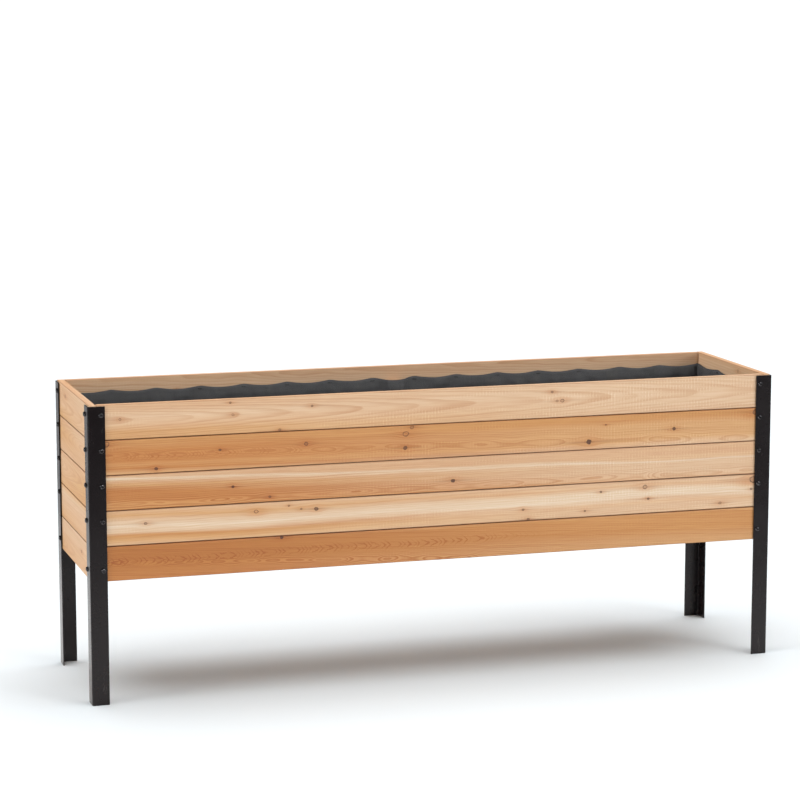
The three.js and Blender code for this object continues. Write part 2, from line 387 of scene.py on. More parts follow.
def makeCedar(name, look, width, halfLength):
    look = {**plainLook, **look}
    material, tree, shader = newMaterial(name)
    grain = addNode(tree, "ShaderNodeAttribute", attribute_name="grain").outputs["Vector"]
    along, through, across = splitVector(tree, grain)
    warp = minus(tree, noise(tree, grain, 160.0, 2.0), 0.5)
    shift, body, warm = 0.0, 0.0, 0.0
    for x, z, radius, dark in look["knots"]:
        shift, body, warm = useGroup(tree, knotGroup, {
            "Along": along,
            "Across": across,
            "Warp": warp,
            "Knot Along": x / 1000,
            "Knot Across": z / 1000,
            "Size": 0.8 * radius / 1000,
            "Dark": dark,
            "Shift": shift,
            "Body": body,
            "Warm": warm,
        })
    flowed = calc(tree, "ADD", across, shift)
    hillDepth, hillLength = look["hills"]
    late, fibre, streak, slowDrift = useGroup(tree, grainGroup, {
        "Along": along,
        "Through": through,
        "Across": flowed,
        "Heart Across": look["heart"][0] / 1000,
        "Heart Through": look["heart"][1] / 1000,
        "Slope Across": look["slope"][0] / 1000,
        "Slope Through": look["slope"][1] / 1000,
        "Ring Width": look["ring"] / 1000,
        "Wander": look["wander"] / 1000,
        "Hills": hillDepth / 1000,
        "Hill Rate": 1000 / hillLength,
        "Seed": look["seed"],
    })

    # broad bands of tone from the top edge to the bottom edge
    drift = timesPlus(tree, slowDrift, 0.035, flowed)
    drift = timesPlus(tree, streak, 0.014, drift)
    drift = timesPlus(tree, along, look["bandSlope"] / 1000, drift)
    place = timesPlus(tree, drift, -1000 / width, 0.5)
    leftTones, rightTonesAndSheen = (
        toneRamp(tree, place, [(band[0], band[end]) for band in look["bands"]]) for end in (1, 2)
    )
    # painted sheen: towards the right end the tones turn paler, partly the wood's tone and partly the
    # sheen of the light at the right laid into the colour
    toRight = ease(tree, along, -0.8 * halfLength / 1000, 0.8 * halfLength / 1000)
    wood = blendColour(tree, toRight, leftTones, rightTonesAndSheen)

    # latewood lines, then a chevron figure where the saw ran close to the heart
    fewer = look.get("linesRight", look["lines"]) - look["lines"]
    lines = times(tree, late, timesPlus(tree, toRight, fewer, look["lines"]))
    if look.get("figure"):
        centre, spread, pitch, amount, start, end = look["figure"]
        off = minus(tree, flowed, centre / 1000)
        off = timesPlus(tree, slowDrift, 0.03, off)
        wobble = timesPlus(tree, warp, 0.009, calc(tree, "ABSOLUTE", off))
        turns = timesPlus(tree, wobble, 1.5, along)
        uneven = noise(tree, combine(tree, times(tree, along, 14.0), look["seed"], 0.0))
        turns = timesPlus(tree, uneven, 0.11, turns)
        waves = calc(tree, "SINE", times(tree, turns, 2000 * math.pi / pitch))
        crest = ease(tree, waves, 0.25, 1.0)
        patchy = noise(tree, combine(tree, times(tree, along, 22.0), 0.0, look["seed"]))
        crest = times(tree, crest, ease(tree, patchy, 0.36, 0.58, 0.25, 1.0))
        narrow = calc(tree, "DIVIDE", off, spread / 1000)
        keep = fade(tree, times(tree, narrow, narrow))
        keep = times(tree, keep, ease(tree, along, start / 1000 - 0.06, start / 1000 + 0.06))
        keep = times(tree, keep, ease(tree, along, end / 1000 - 0.2, end / 1000 + 0.2, 1.0, 0.0))
        lines = calc(tree, "MAXIMUM", lines, times(tree, times(tree, crest, keep), amount))
    wood = blendColour(tree, lines, wood, stain(tree, wood, colour(*woodStains["latewood"])))

    # fine fibres and broad streaks change green and blue more than red, as the sap does
    shade = times(tree, fibre, 0.42)
    shade = timesPlus(tree, streak, 0.5, shade)
    jitter = noise(tree, vectorCalc(tree, "MULTIPLY", grain, (40.0, 0.0, 120.0)), 1.0, 2.0)
    sawPlace = timesPlus(tree, jitter, 0.006, along)
    saw = calc(tree, "SINE", times(tree, sawPlace, 2 * math.pi / sawPitch))
    saw = times(tree, ease(tree, saw, 0.0, 1.0, -0.3, 1.0), ease(tree, jitter, 0.38, 0.62))
    sawZone = noise(tree, vectorCalc(tree, "MULTIPLY", grain, (3.0, 0.0, 24.0)), 1.0, 2.0)
    sawZone = ease(tree, timesPlus(tree, along, 0.14, sawZone), 0.47, 0.66)
    saw = times(tree, saw, times(tree, sawZone, look["saw"]))
    shade = calc(tree, "ADD", shade, saw)
    tint = [timesPlus(tree, shade, amount, 1.0) for amount in (0.5, 1.0, 1.35)]
    wood = stain(tree, wood, combine(tree, *tint))

    # painted shade in the seams: the eased long edges are darkened, and the top and bottom faces a
    # little
    rim = ease(tree, calc(tree, "ABSOLUTE", across), width / 2000 - 0.0026, width / 2000 - 0.0006)
    rim = times(tree, rim, ease(tree, calc(tree, "ABSOLUTE", through), 0.0065, 0.009, 0.32, 1.0))
    seamShaded = stain(tree, wood, colour(*woodStains["seamShade"]))
    wood = blendColour(tree, times(tree, rim, look["edge"]), wood, seamShaded)

    # knots: a warm halo, then the dark ring and core
    halo = stain(tree, wood, colour(*woodStains["halo"]))
    wood = blendColour(tree, times(tree, warm, 0.7), wood, halo)
    wood = blendColour(tree, body, wood, colour(*woodStains["knot"]))
    plug(tree, shader.inputs["Base Color"], wood)
    rough = timesPlus(tree, late, -0.08, timesPlus(tree, fibre, 0.25, 0.62))
    plug(tree, shader.inputs["Roughness"], rough)
    setShader(shader, Specular_IOR_Level=0.35)
    height = timesPlus(tree, late, 0.5, fibre)
    height = timesPlus(tree, saw, 4.0, height)
    height = timesPlus(tree, body, -0.8, height)
    addBump(tree, shader, height, 0.00035)
    return material


# One tree makes the wall boards, slats, ledgers and battens
def makePlankTree():
    inputs = {
        "Length": 1.0,
        "Thickness": 0.019,
        "Width": 0.088,
        "Steps": 40,
        "Waviness": 0.0003,
        "Seed": 0.0,
        "Grain Shift": (0.0, 0.0, 0.0),
        "Turn": (0.0, 0.0, 0.0),
        "Place": (0.0, 0.0, 0.0),
        "Material": "Material",
    }
    tree, given = newGeometryTree("plank", inputs)
    size = combine(tree, given["Length"], given["Thickness"], given["Width"])
    counts = {"Size": size, "Vertices X": given["Steps"], "Vertices Y": 3, "Vertices Z": 7}
    block = made(tree, "GeometryNodeMeshCube", counts)
    here = made(tree, "GeometryNodeInputPosition")
    grain = vectorCalc(tree, "ADD", here, given["Grain Shift"])
    stored = made(
        tree,
        "GeometryNodeStoreNamedAttribute",
        {"Geometry": block, "Name": "grain", "Value": grain},
        data_type="FLOAT_VECTOR",
        domain="POINT",
    )
    stretched = vectorCalc(tree, "MULTIPLY", here, (3.0, 9.0, 9.0))
    seeded = vectorCalc(tree, "ADD", stretched, combine(tree, given["Seed"], 0.0, 0.0))
    wave = addNode(tree, "ShaderNodeTexNoise", {"Vector": seeded, "Scale": 1.0, "Detail": 1.0})
    centred = vectorCalc(tree, "SUBTRACT", wave.outputs["Color"], (0.5, 0.5, 0.5))
    scaled = {"Vector": centred, "Scale": given["Waviness"]}
    offset = made(tree, "ShaderNodeVectorMath", scaled, operation="SCALE")
    moved = made(tree, "GeometryNodeSetPosition", {"Geometry": stored, "Offset": offset})
    smooth = made(tree, "GeometryNodeSetShadeSmooth", {"Geometry": moved})
    placing = {"Geometry": smooth, "Translation": given["Place"], "Rotation": given["Turn"]}
    return endTree(tree, made(tree, "GeometryNodeTransform", placing), given["Material"])


plankTree = makePlankTree()

plankSettings = {"ease": 0.0016, "waviness": 0.0009, "slatWaviness": 0.0012}


# A plank that fills a CAD node's box. longAxis is the world axis that its length runs along.
def makePlank(node, longAxis, turn, material, seed, grainShift, waviness):
    low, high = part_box(node)
    span = high - low - Vector([0.6 * waviness] * 3)
    if longAxis == "z":
        length, thickness, width = span.z, span.y, span.x
    elif longAxis == "y" and span.x > span.z:
        length, thickness, width = span.y, span.z, span.x
    else:
        length = max(span.x, span.y)
        thickness, width = min(span.x, span.y), span.z
    values = {
        "Length": length,
        "Thickness": thickness,
        "Width": width,
        "Steps": max(6, round(length / 0.03)),
        "Waviness": waviness,
        "Seed": seed,
        "Grain Shift": grainShift,
        "Turn": turn,
        "Place": (low + high) / 2,
        "Material": material,
    }
    return growPiece(node + "_wood", plankTree, values, plankSettings["ease"])


# What each front board shows, from the top one down; the paler right-end tones hold painted sheen as
# well as the wood's tone
frontLooks = [
    {
        "heart": (4, 46), "slope": (0, 22), "ring": 3.4, "wander": 5, "seed": 1.0,
        "lines": 0.5, "saw": 0.16,
        "bands": [(0.0, "blush", "pale"), (0.35, "pale", "pale"), (0.6, "blush", "pale"),
                  (0.82, "honey", "pale"), (1.0, "honey", "pale")],
        "knots": [(-547, 4, 4, 0.15), (-427, -40, 4, 0.5), (-343, 17, 4, 0.55), (-554, 35, 3.5, 0.5),
                  (298, 23, 4, 0.5), (326, -1, 6, 0.25), (312, -1, 4, 0.3), (-833, 6, 4, 0.2)],
    },
    {
        "heart": (-13, 11), "slope": (-24, 7), "ring": 2.3, "wander": 9, "seed": 2.0,
        "hills": (16, 150), "lines": 0.7, "saw": 0.16, "figure": (-4, 9, 15, 0.85, -860, -330),
        "bands": [(0.0, "amber", "amber"), (0.2, "amber", "amber"), (0.36, "orange", "honey"),
                  (0.66, "orange", "honey"), (0.78, "amber", "honey"), (0.9, "orange", "blush"),
                  (1.0, "honey", "pale")],
        "knots": [(-868, 34, 9, 0.12), (-744, -33, 5, 0.8), (-581, 6, 4, 0.7), (-359, 10, 6, 0.4),
                  (-96, 22, 9, 0.08), (-80, 38, 6, 0.35), (-98, -14, 6, 0.75), (401, -24, 8, 0.9),
                  (639, -1, 5.5, 0.85), (448, 19, 2.5, 0.8), (872, 33, 10, 0.45)],
    },
    {
        "heart": (-32, 1), "slope": (-2, 5), "ring": 2.5, "wander": 6, "seed": 3.0,
        "hills": (34, 190), "lines": 1.3, "linesRight": 0.6, "saw": 0.12, "bandSlope": 14.6,
        "bands": [(0.0, "blush", "blush"), (0.25, "blush", "blush"), (0.29, "cream", "pale"),
                  (0.32, "cream", "cream"), (0.38, "blush", "pale"), (0.48, "honey", "pale"),
                  (0.66, "orange", "pale"), (0.86, "orange", "blush"), (1.0, "amber", "honey")],
        "knots": [(-549, 0, 4.5, 0.85), (-454, -31, 4, 0.6), (30, -17, 6, 0.9)],
    },
    {
        "heart": (120, 90), "slope": (14, 0), "ring": 4.5, "wander": 16, "seed": 4.0,
        "lines": 0.35, "saw": 0.09,
        "bands": [(0.0, "blush", "pale"), (0.2, "honey", "blush"), (0.34, "pale", "cream"),
                  (0.5, "cream", "cream"), (0.66, "pale", "blush"), (0.78, "amber", "pale"),
                  (0.9, "honey", "pale"), (1.0, "blush", "blush")],
        "knots": [(-772, 8, 5, 0.5), (-490, 22, 6.5, 0.1), (-405, 32, 3, 0.6), (-373, 22, 3.5, 0.5),
                  (-334, 20, 6, 0.75), (221, -15, 4, 0.6), (235, -41, 4.5, 0.7), (392, -28, 3.5, 0.6),
                  (436, 20, 4, 0.7), (560, 26, 7, 0.3), (569, -6, 4, 0.75), (774, -29, 5, 0.35),
                  (868, 30, 12, 0.3), (863, 4, 4, 0.6)],
    },
    {
        "heart": (-40, 4), "slope": (-50, 4), "ring": 2.4, "wander": 8, "seed": 5.0,
        "hills": (22, 90), "lines": 1.15, "saw": 0.05, "figure": (4, 9, 17, 1.9, -900, 160),
        "bands": [(0.0, "orange", "honey"), (0.1, "russet", "amber"), (0.5, "russet", "amber"),
                  (0.88, "orange", "honey"), (1.0, "orange", "honey")],
        "knots": [(-424, 41, 5, 0.9)],
    },
]

# The left wall, from the top one down
leftLooks = [
    {
        "heart": (-10, 18), "slope": (0, 60), "ring": 5.0, "wander": 14, "seed": 11.0,
        "lines": 0.5,
        "bands": [(0.0, "blush", "pale"), (0.6, "blush", "blush"), (1.0, "honey", "blush")],
        "knots": [(-105, 17, 6, 0.4)],
    },
    {
        "heart": (6, 14), "slope": (0, -70), "ring": 5.2, "wander": 24, "seed": 12.0,
        "lines": 0.45,
        "bands": [(0.0, "blush", "pale"), (0.5, "honey", "blush"), (1.0, "blush", "blush")],
    },
    {
        "heart": (8, 12), "slope": (0, 70), "ring": 4.8, "wander": 26, "seed": 13.0,
        "lines": 0.45,
        "bands": [(0.0, "blush", "blush"), (0.5, "blush", "honey"), (1.0, "honey", "honey")],
    },
    {
        "heart": (70, 60), "slope": (20, 0), "ring": 5.0, "wander": 16, "seed": 14.0,
        "lines": 0.3,
        "bands": [(0.0, "honey", "honey"), (0.2, "pale", "pale"), (0.6, "blush", "blush"),
                  (1.0, "honey", "blush")],
    },
    {
        "heart": (-20, 20), "slope": (0, 40), "ring": 4.6, "wander": 18, "seed": 15.0,
        "lines": 0.4,
        "bands": [(0.0, "pale", "pale"), (0.4, "blush", "blush"), (1.0, "honey", "blush")],
        "knots": [(91, 7, 5, 0.5)],
    },
]

bandChoices = [
    ["blush", "pale", "pale", "honey"],
    ["amber", "orange", "amber", "honey"],
    ["pale", "blush", "amber", "amber"],
    ["blush", "cream", "cream", "honey"],
    ["orange", "russet", "orange", "amber"],
]


# The back and right walls are of the same timber, with knots and figure of their own
def makeOtherLook(row, seed, halfLength):
    rng = random.Random(seed)
    tones = bandChoices[(row * 2 + seed) % len(bandChoices)]
    count = max(1, round(halfLength / 220))

    def knot():
        place = (rng.uniform(-0.9, 0.9) * halfLength, rng.uniform(-38, 38))
        return (*place, rng.uniform(3, 8), rng.uniform(0.1, 0.9))

    return {
        "heart": (rng.uniform(-50, 50), rng.uniform(12, 50)),
        "slope": (rng.uniform(-8, 8), rng.uniform(-25, 25)),
        "ring": rng.uniform(3.4, 5.0),
        "wander": rng.uniform(8, 20),
        "seed": float(seed),
        "lines": rng.uniform(0.35, 0.6),
        "saw": 0.03,
        "bands": [(i / 3, tone, tone) for i, tone in enumerate(tones)],
        "knots": [knot() for i in range(count)],
    }


wallTurns = {"front": 0.0, "right": math.pi / 2, "back": math.pi, "left": -math.pi / 2}
wallAxes = {"front": "x", "right": "y", "back": "x", "left": "y"}
wallSettings = {"rows": 5, "boardWidth": 88, "halfLength": {"x": 891, "y": 226}}  # sizes in mm
setLooks = {"front": frontLooks, "left": leftLooks}
otherSeeds = {"back": 20, "right": 40}


def makeWalls():
    for side, turn in wallTurns.items():
        halfLength = wallSettings["halfLength"][wallAxes[side]]
        for row in range(wallSettings["rows"]):
            node = f"{side}_board_{row + 1}"
            if side in setLooks:
                look = setLooks[side][row]
            else:
                look = makeOtherLook(row, otherSeeds[side] + row, halfLength)
            name = f"cedar_{side}_{row + 1}"
            material = makeCedar(name, look, wallSettings["boardWidth"], halfLength)
            waviness = plankSettings["waviness"]
            level, unmoved = (0.0, 0.0, turn), (0.0, 0.0, 0.0)
            seed = look["seed"] * 5.0
            plank = makePlank(node, wallAxes[side], level, material, seed, unmoved, waviness)
            settle(plank, "cedar_wall", node)
    print("planter: walls made")


slatNodes = [f"floor_slat_{i + 1}" for i in range(18)]
floorLook = {
    "heart": (0, 35), "slope": (4, 20), "ring": 4.2, "wander": 12, "seed": 60.0,
    "lines": 0.5, "saw": 0.02, "edge": 0.0,
    "bands": [(0.0, "amber", "honey"), (0.4, "honey", "amber"), (0.75, "orange", "honey"),
              (1.0, "amber", "amber")],
}


def makeFloor():
    # every piece is cut from its own part of one wide, long pattern
    material = makeCedar("cedar_floor", floorLook, 500, 4000)
    rng = random.Random(7)
    slatTurn, battenTurn = (math.pi / 2, 0.0, math.pi / 2), (0.0, math.pi / 2, 0.0)
    planks = [(node, "y", slatTurn) for node in slatNodes]
    planks += [(f"{side}_ledger", wallAxes[side], (0.0, 0.0, wallTurns[side])) for side in wallTurns]
    planks += [(f"{side}_batten", "z", battenTurn) for side in ("front", "back")]
    for node, longAxis, turn in planks:
        seed = rng.uniform(0, 90)
        shift = (rng.uniform(-4, 4), 0.0, rng.uniform(-0.22, 0.22))
        waviness = plankSettings["slatWaviness"]
        plank = makePlank(node, longAxis, turn, material, seed, shift, waviness)
        settle(plank, "cedar_floor", node)
    print("planter: floor made")


makeWalls()
makeFloor()

# Legs: a folded steel angle at each corner
legSettings = {
    "flange": 0.044,
    "steel": 0.003,
    "bend": 0.0045,
    "bendSteps": 12,
    "ease": 0.0005,
    "rows": 24,
}


coatTones = {
    "deep": (0.004, 0.0022, 0.0026),
    "light": (0.0065, 0.0038, 0.0043),
    "scuffed": (0.07, 0.064, 0.058),
}


# Satin black powder coat: fine orange peel, faint mottling, dust near the floor
def makeCoat():
    material, tree, shader = newMaterial("powder_coat")
    deep, light, scuffed = (colour(*tone) for tone in coatTones.values())
    where = objectPlace(tree)
    height = splitVector(tree, where)["Z"]
    peel = noise(tree, where, 700.0, 2.0, 0.6)
    grit = noise(tree, where, 2600.0, 1.0)
    cloud = noise(tree, where, 14.0, 4.0, 0.6)
    scuffs = noise(tree, vectorCalc(tree, "MULTIPLY", where, (90.0, 90.0, 22.0)), 1.0, 4.0, 0.7)
    scuffs = ease(tree, scuffs, 0.6, 0.72)
    low = ease(tree, height, 0.0, 0.09, 1.0, 0.0)
    worn = times(tree, scuffs, timesPlus(tree, low, 0.55, 0.08))
    shade = blendColour(tree, worn, blendColour(tree, cloud, deep, light), scuffed)
    plug(tree, shader.inputs["Base Color"], shade)
    rough = timesPlus(tree, cloud, 0.13, 0.21)
    plug(tree, shader.inputs["Roughness"], timesPlus(tree, worn, 0.25, rough))
    setShader(shader, Specular_IOR_Level=0.25)
    addBump(tree, shader, timesPlus(tree, grit, 0.35, peel), 0.00007)
    return material


# The section runs from one flange end round the bend to the other, outside and inside in pairs
def legSection(signX, signY, corner):
    flange, steel, bend = (legSettings[key] for key in ("flange", "steel", "bend"))
    steps = legSettings["bendSteps"]
    angles = [math.pi / 2 * i / steps for i in range(steps + 1)]

    def path(first, radius, last):
        turn = [(bend - radius * math.sin(a), bend - radius * math.cos(a)) for a in angles]
        return [(corner[0] - signX * x, corner[1] - signY * y) for x, y in (first, *turn, last)]

    outside = path((flange, 0.0), bend, (0.0, flange))
    return outside, path((flange, steel), bend - steel, (steel, flange))


def makeLeg(node, signX, signY, material):
    low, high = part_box(node)
    corner = (high.x if signX > 0 else low.x, high.y if signY > 0 else low.y)
    section = legSection(signX, signY, corner)
    rows = legSettings["rows"]
    form = bmesh.new()
    rings = []
    for row in range(rows + 1):
        z = low.z + (high.z - low.z) * row / rows
        rings.append([[form.verts.new((x, y, z)) for x, y in path] for path in section])
    loops = [outer + inner[::-1] for outer, inner in rings]
    for below, above in zip(loops, loops[1:]):
        joinLoops(form, below, above)
    for outer, inner in (rings[0], rings[-1]):
        for i in range(len(outer) - 1):
            form.faces.new((outer[i], outer[i + 1], inner[i + 1], inner[i]))
    leg = meshPiece(node + "_steel", form, material)
    leg.data.shade_smooth()
    addBevel(leg, legSettings["ease"])
    settle(leg, "black_powder_coat", node)


corners = {"front_left": (-1, -1), "front_right": (1, -1), "back_right": (1, 1), "back_left": (-1, 1)}


def makeLegs():
    material = makeCoat()
    for name, (signX, signY) in corners.items():
        makeLeg(name + "_leg", signX, signY, material)
    print("planter: legs made")


# Screws: domed heads with a hexagon socket, five on each flange. Sizes are in metres.
screwSettings = {
    "radius": 0.0065,
    "height": 0.0040,
    "crown": 0.56,  # share of the head that is flat round the socket
    "brim": 0.0007,
    "socket": 0.0050,
    "socketDepth": 0.0024,
    "chamfer": (0.0003, 0.0002),  # at the socket's mouth, outwards and down
    "shank": 0.003,
    "shankLength": 0.019,
    "neck": 0.003,  # plain shank above the thread
    "thread": 0.0017,
    "threadRoot": 0.78,
    "steps": 24,
    "count": 5,
    "pitch": 0.089,
    "lastDrop": 0.0345,  # how much lower the last screw sits than the pitch
}


metalTones = {"deep": (0.026, 0.025, 0.027), "light": (0.06, 0.057, 0.06)}


# Black oxide on the screws and staples
def makeScrewMetal():
    material, tree, shader = newMaterial("black_screw_metal")
    deep, light = (colour(*tone) for tone in metalTones.values())
    where = objectPlace(tree)
    cloud = noise(tree, where, 260.0, 3.0, 0.6)
    fine = noise(tree, where, 2400.0, 2.0)
    plug(tree, shader.inputs["Base Color"], blendColour(tree, cloud, deep, light))
    plug(tree, shader.inputs["Roughness"], timesPlus(tree, cloud, 0.1, 0.08))
    setShader(shader, Metallic=0.85)
    addBump(tree, shader, fine, 0.000012)
    return material


# One screw that points up: rings from the socket floor over the dome and down the thread
def makeScrewTemplate():
    radius, height, shank = (screwSettings[key] for key in ("radius", "height", "shank"))
    crown, brim, thread = (screwSettings[key] for key in ("crown", "brim", "thread"))
    steps = screwSettings["steps"]
    form = bmesh.new()

    def ring(z, size, hexagon=False):
        verts = []
        for i in range(steps):
            angle = 2 * math.pi * i / steps
            flat = math.cos((angle + math.pi / 6) % (math.pi / 3) - math.pi / 6)
            reach = size / flat if hexagon else size
            verts.append(form.verts.new((reach * math.cos(angle), reach * math.sin(angle), z)))
        return verts

    floor = height - screwSettings["socketDepth"]
    half = screwSettings["socket"] / 2
    out, down = screwSettings["chamfer"]
    hexagons = ((floor, half * 0.92), (floor, half), (height - down, half), (height, half + out))
    rings = [ring(z, size, True) for z, size in hexagons]
    rings.append(ring(height, radius * crown))
    for i in range(1, 7):
        angle = math.pi / 2 * i / 6
        wide = radius * (crown + (1 - crown) * math.sin(angle))
        rings.append(ring(brim + (height - brim) * math.cos(angle), wide))
    rings += [ring(0.0, radius), ring(0.0, shank)]
    for i in range(int(screwSettings["shankLength"] / thread) - 2):
        z = -screwSettings["neck"] - i * thread
        rings.append(ring(z, shank * screwSettings["threadRoot"]))
        rings.append(ring(z - thread * 0.5, shank))
    for upper, lower in zip(rings, rings[1:]):
        joinLoops(form, upper, lower)
    tip = form.verts.new((0.0, 0.0, -screwSettings["shankLength"]))
    middle = form.verts.new((0.0, 0.0, floor - out))
    for i in range(steps):
        j = (i + 1) % steps
        form.faces.new((rings[-1][i], rings[-1][j], tip))
        form.faces.new((rings[0][j], rings[0][i], middle))
    screw = meshPiece("screw_template", form, None)
    screw.data.shade_smooth()
    screw.data.set_sharp_from_angle(angle=math.radians(35))
    return screw


def makeScrewTree():
    inputs = {
        "Screw": "Object",
        "Count": 5,
        "Pitch": 0.089,
        "Last Drop": 0.0345,
        "Top": (0.0, 0.0, 0.0),
        "Turn": (0.0, 0.0, 0.0),
        "Seed": 0,
        "Material": "Material",
    }
    tree, given = newGeometryTree("screwRow", inputs)
    drop = combine(tree, 0.0, 0.0, times(tree, given["Pitch"], -1.0))
    line = made(tree, "GeometryNodeMeshLine", {"Count": given["Count"], "Offset": drop})
    index = made(tree, "GeometryNodeInputIndex")
    last = calc(tree, "COMPARE", index, minus(tree, given["Count"], 1.0), 0.1)
    further = combine(tree, 0.0, 0.0, times(tree, last, times(tree, given["Last Drop"], -1.0)))
    spread = made(tree, "GeometryNodeSetPosition", {"Geometry": line, "Offset": further})
    placed = made(tree, "GeometryNodeTransform", {"Geometry": spread, "Translation": given["Top"]})
    limits = {"Min": 0.0, "Max": 2 * math.pi, "Seed": given["Seed"]}
    spin = combine(tree, 0.0, 0.0, made(tree, "FunctionNodeRandomValue", limits))
    return endRow(tree, given, placed, "Screw", given["Turn"], spin)


def makeScrews():
    material = makeScrewMetal()
    template = makeScrewTemplate()
    tree = makeScrewTree()
    height = screwSettings["height"]
    for number, (name, (signX, signY)) in enumerate(corners.items()):
        for face in (name.split("_")[0], "side"):
            node = f"{name}_{face}_screws"
            low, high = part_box(node)
            top = high.z - screwSettings["radius"]
            if face == "side":
                x = (high.x if signX > 0 else low.x) - signX * height
                place, turn = (x, (low.y + high.y) / 2, top), (0.0, signX * math.pi / 2, 0.0)
            else:
                y = (high.y if signY > 0 else low.y) - signY * height
                place, turn = ((low.x + high.x) / 2, y, top), (-signY * math.pi / 2, 0.0, 0.0)
            values = {
                "Screw": template,
                "Count": screwSettings["count"],
                "Pitch": screwSettings["pitch"],
                "Last Drop": screwSettings["lastDrop"],
                "Top": place,
                "Turn": turn,
                "Seed": 2 * number + (face == "side"),
                "Material": material,
            }
            settle(growPiece(node + "_set", tree, values), "black_screw", node)
    bpy.data.objects.remove(template)
    print("planter: screws made")


# Liner: a black woven ground cloth, cut flat, folded up into an open box and stapled
linerSettings = {
    "step": 0.009,
    "thick": 0.0012,
    "clear": 0.0012,
    "stapleGap": 0.118,
    "sag": 0.006,
    "buckle": 0.0045,
    "rumple": 0.0042,
    "crease": 0.0022,
    "creaseGap": 0.297,
    "cornerFlap": 0.0022,
    "cornerTuck": 0.010,
    "cove": 0.012,  # how far the foot of a wall stands in from the boards
    "drag": 0.0045,  # folds that fan out under a staple
    "swag": 0.0032,
    "bulge": 0.0025,
    "battenEase": 0.022,
    "waves": ((3, 0.07, 0.5), (4, 0.03, 0.16), (5, 0.05, 0.4)),  # seed, shortest, longest
    "weave": 0.0026,
}


clothTones = {
    "deep": (0.016, 0.016, 0.017),
    "light": (0.038, 0.038, 0.04),
    "striped": (0.055, 0.055, 0.058),
    "dusty": (0.075, 0.066, 0.055),
}


# Slit-film weave on the cloth's own flat coordinates, with faint stripes and dust
def makeClothMaterial():
    material, tree, shader = newMaterial("liner_cloth")
    deep, light, striped, dusty = (colour(*tone) for tone in clothTones.values())
    where = made(tree, "ShaderNodeUVMap", uv_map="cloth")
    split = splitVector(tree, where)
    pitch = 2 * math.pi / linerSettings["weave"]
    over, under = (calc(tree, "SINE", times(tree, split[axis], pitch)) for axis in "XY")
    weave = timesPlus(tree, times(tree, over, under), 0.5, 0.5)
    stripes = noise(tree, vectorCalc(tree, "MULTIPLY", where, (220.0, 6.0, 0.0)), 1.0, 2.0)
    dust = noise(tree, where, 9.0, 4.0, 0.65)
    shade = blendColour(tree, weave, deep, light)
    shade = blendColour(tree, times(tree, stripes, 0.4), shade, striped)
    shade = blendColour(tree, ease(tree, dust, 0.5, 0.75, 0.0, 0.4), shade, dusty)
    plug(tree, shader.inputs["Base Color"], shade)
    plug(tree, shader.inputs["Roughness"], timesPlus(tree, weave, -0.15, 0.72))
    setShader(shader, Specular_IOR_Level=0.4, Sheen_Weight=0.08, Sheen_Roughness=0.5)
    addBump(tree, shader, weave, 0.0004)
    return material


# Smooth repeatable waves for the cloth: a sum of sines with seeded phases
def makeWaves(seed, shortest, longest, count=9):
    rng = random.Random(seed)
    parts = []
    for i in range(count):
        length = shortest * (longest / shortest) ** rng.random()
        angle = rng.uniform(0, math.pi)
        pull = 2 * math.pi / length
        parts.append((pull * math.cos(angle), pull * math.sin(angle), rng.uniform(0, 2 * math.pi)))
    return lambda u, v: sum(math.sin(a * u + b * v + c) for a, b, c in parts) / count ** 0.5 / 1.4


# A packing crease is a sharp low ridge at every multiple of the gap
def creaseAt(place, gap):
    off = abs((place / gap + 0.5) % 1.0 - 0.5) * gap
    return max(0.0, 1 - off / 0.016) ** 2


def smooth(value, low, high):
    t = min(1.0, max(0.0, (value - low) / (high - low)))
    return t * t * (3 - 2 * t)


# The room that the cloth lines: half sizes of its floor, its rise, and the battens it passes over
def linerBox():
    low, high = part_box("fabric_liner")
    battenLow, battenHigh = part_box("front_batten")
    clear = linerSettings["clear"]
    return {
        "halfX": high.x - clear,
        "halfY": high.y - clear,
        "floor": low.z + 0.0002,
        "rise": high.z - low.z - 0.001,
        "batten": battenHigh.x + 0.003,
        "battenDeep": battenHigh.y - battenLow.y + 0.0006,
    }


def nearBatten(box, place):
    return 1 - smooth(abs(place), box["batten"], box["batten"] + linerSettings["battenEase"])


# How far the cloth stands in from the wall at a place along it and a height above the floor
def linerInset(box, wall, t, half, rise, waves):
    settings = linerSettings
    top = rise / box["rise"]
    hold = 1 - smooth(top, 0.93, 1.0)
    inset = settings["buckle"] * max(0.0, waves[0](t, 0.25 * rise)) * (0.35 + 0.65 * hold)
    inset += settings["rumple"] * max(0.0, 1 - abs(waves[1](t, rise))) ** 3 * hold
    creases = max(creaseAt(t, settings["creaseGap"]), creaseAt(rise - 0.17, 0.6))
    inset += settings["crease"] * creases * hold
    spacing = 2 * half / round(2 * half / settings["stapleGap"])
    fromStaple = ((t + half) / spacing) % 1.0
    below = box["rise"] - rise
    underStaple = (0.5 + 0.5 * math.cos(2 * math.pi * fromStaple)) ** 6
    inset += settings["drag"] * underStaple * math.exp(-below / 0.09) * smooth(below, 0.008, 0.03)
    swag = math.sin(math.pi * fromStaple) * math.exp(-(((below - 0.028) / 0.014) ** 2))
    inset += settings["swag"] * swag
    if wall == "long":
        toCorner = half - abs(t)
        tuck = (1 - smooth(toCorner, 0.0, 0.035)) * (0.35 + 0.65 * (1 - top))
        flap = smooth(rise - toCorner, -0.004, 0.004) * smooth(toCorner, 0.004, 0.012)
        inset += settings["cornerTuck"] * tuck + settings["cornerFlap"] * flap
        inset = max(inset, 0.0) + box["battenDeep"] * nearBatten(box, t)
    return inset + settings["cove"] * (1 - smooth(rise, 0.0, 0.03)) ** 2


